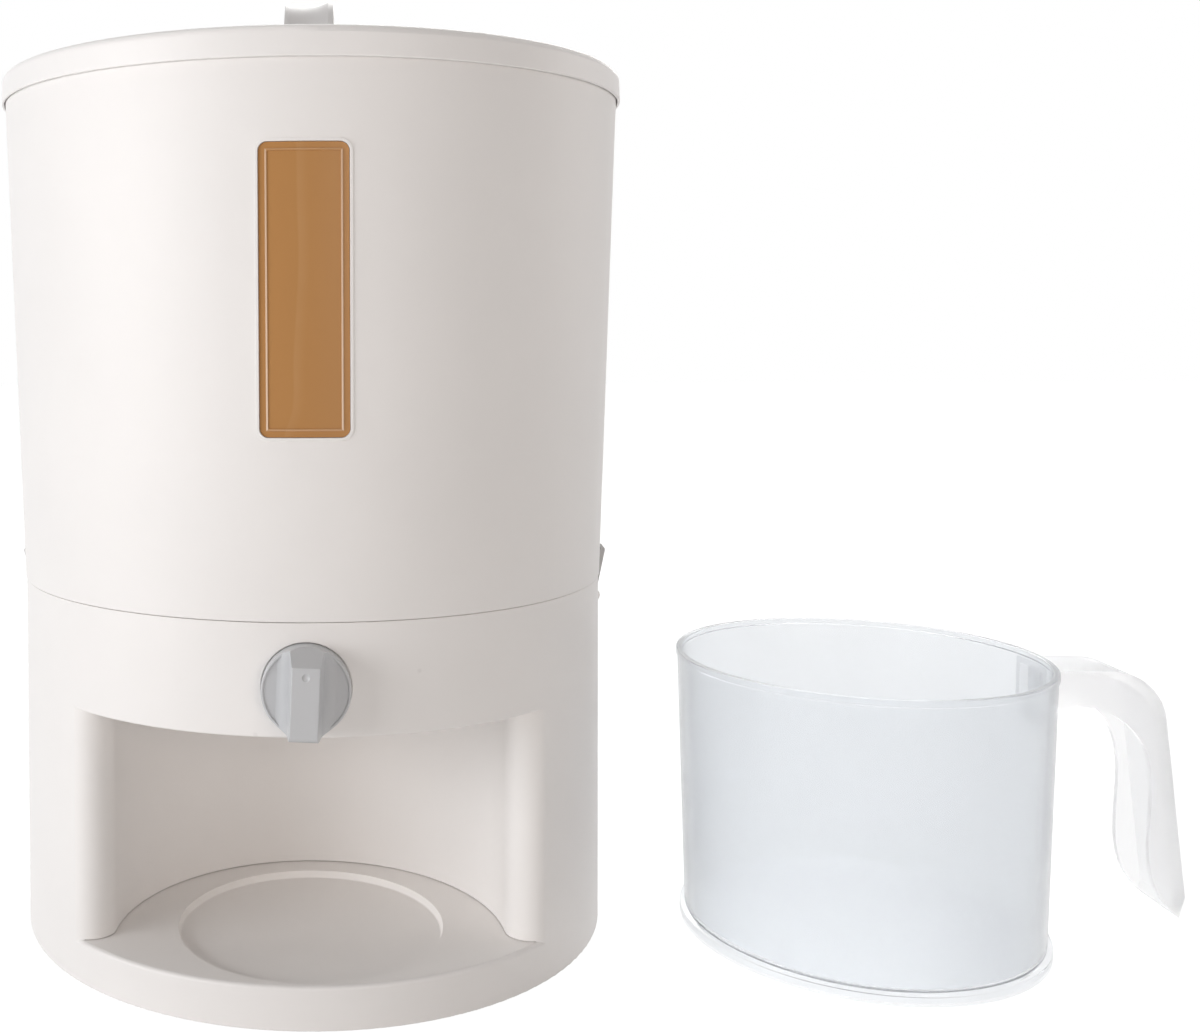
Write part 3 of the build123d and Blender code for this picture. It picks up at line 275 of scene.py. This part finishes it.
def blend(tree, share, first, second):
    """Mix of two colours, each of them a tuple or another node's socket."""
    made = tree.nodes.new("ShaderNodeMix")
    made.data_type = "RGBA"
    tree.links.new(share, made.inputs["Factor"])
    for socket, color in (("A", first), ("B", second)):
        if isinstance(color, tuple):
            made.inputs[socket].default_value = (*color, 1)
        else:
            tree.links.new(color, made.inputs[socket])
    return made.outputs["Result"]


def add_dot(material, x, z):
    """Add a small darker dot to the front of a finished plastic."""
    tree = material.node_tree
    place = tree.nodes["Texture Coordinate"].outputs["Object"]
    base_color = tree.nodes["Principled BSDF"].inputs["Base Color"]
    flat = add(tree, "Mapping", {"Vector": place}, Scale=(1, DEPTH_SCALE, 1))
    away = tree.nodes.new("ShaderNodeVectorMath")
    away.operation = "DISTANCE"
    away.inputs[1].default_value = (x, FRONT_DEPTH * DEPTH_SCALE, z)
    tree.links.new(flat.outputs["Vector"], away.inputs[0])
    dot = remap(tree, away.outputs["Value"], (DOT_CORE, DOT_SHADE), (DOT_RADIUS, 0.0), smooth=True)
    before = base_color.links[0].from_socket
    tree.links.new(blend(tree, dot, before, DOT_COLOR), base_color)


base_white = plastic("base_white", BODY_WHITE, SATIN)
for dot_x, dot_z in DOTS:
    add_dot(base_white, dot_x, dot_z)
print("dots on the base:", len(DOTS))

# %% [markdown]
# Soft parts: the seals are pale silicone and the feet dark rubber. Both are matt, with a
# coarser grain than the hard plastic. The pins, screws and the spring clip are steel,
# whose brushing is noise stretched along one axis.

# %% Seals, feet and steel
BRUSH_SCALE = (900, 900, 6000)
BRUSH_DEPTH = 2e-5
STEEL_DRIFT = 0.10

finishes["seal"] = plastic("seal", (0.62, 0.62, 0.60), 0.65, shade=0.05, grain_depth=2e-5)
finishes["foot_rubber"] = plastic(
    "foot_rubber", (0.05, 0.05, 0.05), 0.8, shade=0.2, grain_depth=4e-5)


def brushed_steel(name, color, roughness):
    """Bright steel with fine lines from stretched noise."""
    material, tree, output = new_material(name)
    place = add(tree, "TexCoord").outputs["Object"]
    stretched = add(tree, "Mapping", {"Vector": place}, Scale=BRUSH_SCALE).outputs["Vector"]
    lines = noise(tree, stretched, scale=1.0, detail=2.0)
    bump = add(tree, "Bump", {"Height": lines}, Strength=0.3, Distance=BRUSH_DEPTH)
    principled(tree, output, {
        "Roughness": drift(tree, lines, roughness, STEEL_DRIFT),
        "Normal": bump.outputs["Normal"],
    }, Base_Color=(*color, 1), Metallic=1.0)
    return material


finishes["steel"] = brushed_steel("steel", (0.56, 0.56, 0.57), 0.30)
print("soft parts and steel done")

# %% [markdown]
# The window is a pane of amber plastic. Its face is smooth and a little glossy, and the
# bin behind it is dark, so it reads as one flat amber. A faint pale streak down it is a
# painted reflection in its colour. The streak begins at a line that bends as it goes down,
# and fades out to the right of it. A Float Curve node gives the line's x for each height.

# %% Painted reflection streak on the window
WINDOW_LOW, WINDOW_HIGH = (corner[2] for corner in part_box("window_lens"))
STREAK_LINE = ((0.0, -0.0079), (0.05, -0.0060), (0.09, -0.0046), (0.27, -0.0040),
               (0.45, -0.0028), (0.60, -0.0020), (0.80, -0.0024), (1.0, -0.0026))
STREAK_SPAN = 0.05
STREAK_EDGE = (-0.0006, 0.0004)
STREAK_FADE = (0.0002, 0.0050)
STREAK_SHARE = 0.55
STREAK_BREAKUP_SCALE = 55.0


def streak_x(tree, up):
    """The streak's x at each height; the curve's 0 to 1 stands for the span's width."""
    line = add(tree, "FloatCurve", {"Value": up})
    curve = line.mapping.curves[0]
    spots = [(share, 0.5 + x / STREAK_SPAN) for share, x in STREAK_LINE]
    for share, value in spots[1:-1]:
        curve.points.new(share, value)
    curve.points[0].location = spots[0]
    curve.points[-1].location = spots[-1]
    line.mapping.update()
    return math_node(tree, "MULTIPLY_ADD", line.outputs["Value"], STREAK_SPAN, -STREAK_SPAN / 2)


def painted_reflection_streak(tree, place, x, up):
    """Share of the painted reflection, broken up by noise."""
    side = math_node(tree, "SUBTRACT", x, streak_x(tree, up))
    edge = remap(tree, side, (STREAK_EDGE[0], 0.0), (STREAK_EDGE[1], 1.0), smooth=True)
    fade = remap(tree, side, (STREAK_FADE[0], 1.0), (STREAK_FADE[1], 0.0), smooth=True)
    breakup = noise(tree, place, scale=STREAK_BREAKUP_SCALE, detail=3.0)
    amount = math_node(tree, "MULTIPLY", edge, fade)
    amount = math_node(tree, "MULTIPLY", amount, breakup)
    return math_node(tree, "MULTIPLY", amount, STREAK_SHARE)


print("window from", round(WINDOW_LOW, 4), "to", round(WINDOW_HIGH, 4))

# %% [markdown]
# The window's border is raised, and a painted highlight, the light caught by its inner edge,
# lies along that edge, strongest along its upright sides and low down. It is a rectangle,
# so the distance to it is the larger of the distances across and up.

# %% Painted highlight on the window's border
BORDER_X = 0.01415
BORDER_Z = 0.0521
BORDER_MIDDLE = 0.2817
BORDER_LINE = 0.0006
LEVEL_SIDES = 0.25
AT_BOTTOM = 0.95
LOSS_TO_TOP = 0.45


def painted_border_highlight(tree, x, z, up):
    """Share of the painted highlight, by side and by height."""
    across = math_node(tree, "SUBTRACT", math_node(tree, "ABSOLUTE", x), BORDER_X)
    upward = math_node(tree, "SUBTRACT", z, BORDER_MIDDLE)
    upward = math_node(tree, "SUBTRACT", math_node(tree, "ABSOLUTE", upward), BORDER_Z)
    away = math_node(tree, "ABSOLUTE", math_node(tree, "MAXIMUM", across, upward))
    rim = remap(tree, away, (0.0, 1.0), (BORDER_LINE, 0.0), smooth=True)
    sides = math_node(tree, "GREATER_THAN", across, upward)
    sides = math_node(tree, "MULTIPLY_ADD", sides, 1 - LEVEL_SIDES, LEVEL_SIDES)
    lower = math_node(tree, "MULTIPLY_ADD", up, -LOSS_TO_TOP, AT_BOTTOM)
    return math_node(tree, "MULTIPLY", rim, math_node(tree, "MULTIPLY", sides, lower))


print("pale line reaches", BORDER_LINE, "m to each side")

# %% [markdown]
# The pane joins the two: the painted reflection is mixed into the amber first, then the painted
# highlight over it.

# %% Amber window
AMBER = (0.455, 0.222, 0.072)
# Lighter amber of the painted reflection streak.
REFLECTION_AMBER = (0.530, 0.295, 0.125)
# Colour of the painted highlight on the border's inner edge.
BORDER_HIGHLIGHT = (0.90, 0.72, 0.56)
SMOOTH_GRAIN = 1e-6
WINDOW_WAVE = 8e-5


def amber_window(name):
    """Amber pane with a painted reflection streak and a painted highlight on its border."""
    material, tree, output = new_material(name)
    place = add(tree, "TexCoord").outputs["Object"]
    split = add(tree, "SeparateXYZ", {"Vector": place})
    x, z = split.outputs["X"], split.outputs["Z"]
    up = remap(tree, z, (WINDOW_LOW, 0.0), (WINDOW_HIGH, 1.0))
    amber_with_reflection = blend(tree, painted_reflection_streak(tree, place, x, up), AMBER, REFLECTION_AMBER)
    principled(tree, output, {
        "Base Color": blend(tree, painted_border_highlight(tree, x, z, up), amber_with_reflection, BORDER_HIGHLIGHT),
        "Normal": moulded_surface(tree, place, SMOOTH_GRAIN, WINDOW_WAVE),
    }, Roughness=0.34, Specular_IOR_Level=0.28)
    return material


finishes["window_amber"] = amber_window("window_amber")
print("window finish done")

# %% [markdown]
# The cup is clear plastic whose wall is finely frosted, so it shows the white behind it
# blurred and faintly blue. That is transmission with some roughness. Layer Weight finds
# the places seen edge on, which have a tint of their own. The roughness drifts a little.
# Where it drifts through about 0.27, the preview's noise filter draws false outlines, so
# the cup's range stays below that and the handle's above.

# %% Frosted cup and its handle
EDGE_BLEND = 0.35
FROST_SCALE = 18.0
FROST_DRIFT = 0.03
FROST_WAVE = 3e-5


def frosted(name, clear, edge, frost, density):
    """Clear plastic with a frosted surface; density is the share that scatters light."""
    material, tree, output = new_material(name)
    place = add(tree, "TexCoord").outputs["Object"]
    facing = add(tree, "LayerWeight", Blend=EDGE_BLEND).outputs["Facing"]
    patches = noise(tree, place, scale=FROST_SCALE, detail=2.0)
    principled(tree, output, {
        "Base Color": blend(tree, facing, clear, edge),
        "Roughness": drift(tree, patches, frost, FROST_DRIFT),
        "Normal": moulded_surface(tree, place, SMOOTH_GRAIN, FROST_WAVE),
    }, Transmission_Weight=1.0 - density, IOR=1.3)
    return material


finishes["cup_clear"] = frosted(
    "cup_clear", clear=(0.932, 0.952, 0.974), edge=(0.935, 0.958, 0.988), frost=0.19, density=0.20)
handle_clear = frosted(
    "handle_clear", clear=(0.99, 0.99, 0.995), edge=(0.955, 0.965, 0.985), frost=0.34, density=0.12)
print("cup finishes done")

# %% [markdown]
# Each part names a slot in the model's record, and most take that slot's finish. The tank,
# the base, the grip and the cup's handle take the closer match made for them above.

# %% Give every part its finish
slots = {entry["node"]: entry["material_slot"] for entry in frame["record"]["subparts"]}
closer = {
    "tank": tank_white,
    "base_housing": base_white,
    "lid_grip": grip_grey,
    "cup_handle": handle_clear,
}
for name, node in nodes.items():
    node.data.materials.clear()
    node.data.materials.append(closer[name] if name in closer else finishes[slots[name]])
print("finished parts:", len(nodes))

# %% [markdown]
# The photograph has a plain white ground. More light on the object would clip its white
# plastic, so the white comes from the floor itself: to the camera, and in reflections and
# through the cup, the floor is mostly a white glow. The rest of it is a matt surface that
# takes light, which keeps the soft shadow. Other rays see only the matt surface.

# %% Floor
FLOOR_REACH = 6.0
FLOOR_GLOW = 0.86
FLOOR_WHITE = 1.155
PAPER_SCALE = 6.0
PAPER_DARK = (0.89, 0.89, 0.89)
PAPER_LIGHT = (0.91, 0.91, 0.91)


def seen_directly(tree):
    """1 where a ray comes from the camera, a reflection or through clear plastic."""
    path = add(tree, "LightPath")
    seen = math_node(tree, "MAXIMUM", path.outputs["Is Camera Ray"], path.outputs["Is Glossy Ray"])
    return math_node(tree, "MAXIMUM", seen, path.outputs["Is Transmission Ray"])


def mix_shaders(tree, share, first, second, target):
    """Mix of two shaders on the target, an output's input; share is the second's part."""
    mixed = add(tree, "MixShader", {"Fac": share})
    tree.links.new(first, mixed.inputs[1])
    tree.links.new(second, mixed.inputs[2])
    tree.links.new(mixed.outputs["Shader"], target)


floor_white, tree, output = new_material("floor_white")
share = math_node(tree, "MULTIPLY", seen_directly(tree), FLOOR_GLOW)
place = add(tree, "TexCoord").outputs["Object"]
mottle = noise(tree, place, scale=PAPER_SCALE, detail=2.0)
matt = add(tree, "BsdfDiffuse", {"Color": ramp(tree, mottle, PAPER_DARK, PAPER_LIGHT)})
glow = add(tree, "Emission", Color=(1, 1, 1, 1), Strength=FLOOR_WHITE)
mix_shaders(tree, share, matt.outputs["BSDF"], glow.outputs["Emission"], output.inputs["Surface"])

bm = bmesh.new()
bmesh.ops.create_grid(bm, x_segments=1, y_segments=1, size=FLOOR_REACH)
floor_mesh = bpy.data.meshes.new("floor")
bm.to_mesh(floor_mesh)
bm.free()
floor = bpy.data.objects.new("floor", floor_mesh)
scene.collection.objects.link(floor)
floor.data.materials.append(floor_white)
print("floor is", floor.dimensions.x, "m wide")

# %% [markdown]
# The bin is bright on its left and even, darker on its right, and the light reaches deep
# into the bay. So the key is one wide soft box to the front left, at the height of the
# lid. A weak warm one in front and a weak one on the right fill the rest, a weak one
# overhead lifts the lid and its grip, and one high behind lights the back for the other
# views. The lamps are placed by azimuth and height round the bin's axis, the way one walks
# a stand round an object.

# %% Lamps
AIM = Vector((0, 0, 0.2))
# Name, azimuth in degrees from the front, distance, height, size, watts, colour.
LAMPS = (
    ("key", -58, 1.6, 0.38, (1.1, 0.72), 15.4, (0.99, 0.99, 1.0)),
    ("front", 22, 1.6, 0.36, (0.7, 0.65), 5.1, (1.0, 0.90, 0.83)),
    ("edge", 105, 1.6, 0.56, (0.8, 0.8), 3.4, (1.0, 0.97, 0.96)),
    ("top", 0, 0.35, 1.75, (1.0, 0.8), 3.0, (1.0, 0.98, 0.96)),
    ("back", 165, 1.6, 1.3, (1.2, 1.2), 20.0, (1.0, 0.99, 0.97)),
)


def soft_box(name, azimuth, distance, height, size, energy, color):
    """Area lamp at an azimuth from the front, aimed at the middle of the bin."""
    lamp_data = bpy.data.lights.new(name, "AREA")
    lamp_data.shape = "RECTANGLE"
    lamp_data.size, lamp_data.size_y = size
    lamp_data.energy = energy
    lamp_data.color = color
    lamp = bpy.data.objects.new(name, lamp_data)
    angle = math.radians(azimuth)
    lamp.location = (distance * math.sin(angle), -distance * math.cos(angle), height)
    lamp.rotation_euler = (AIM - lamp.location).to_track_quat("-Z", "Y").to_euler()
    scene.collection.objects.link(lamp)


for lamp_values in LAMPS:
    soft_box(*lamp_values)
print("lamps:", [item.name for item in bpy.data.lights])

# %% [markdown]
# The world is a dim, slightly cool studio that lights the object from all round. What sees
# it directly sees plain white instead, so that no horizon shows behind the floor.

# %% World
STUDIO_COLOR = (0.97, 0.985, 1.0, 1)
STUDIO_STRENGTH = 0.16
world = bpy.data.worlds.new("studio")
world.use_nodes = True
tree = world.node_tree
studio = tree.nodes["Background"]
studio.inputs["Color"].default_value = STUDIO_COLOR
studio.inputs["Strength"].default_value = STUDIO_STRENGTH
white = add(tree, "Background", Color=(1, 1, 1, 1), Strength=1.0)
world_surface = tree.nodes["World Output"].inputs["Surface"]
mix_shaders(tree, seen_directly(tree), studio.outputs["Background"],
            white.outputs["Background"], world_surface)
scene.world = world
scene.view_settings.view_transform = "Standard"
print("world:", world.name, "at strength", STUDIO_STRENGTH)
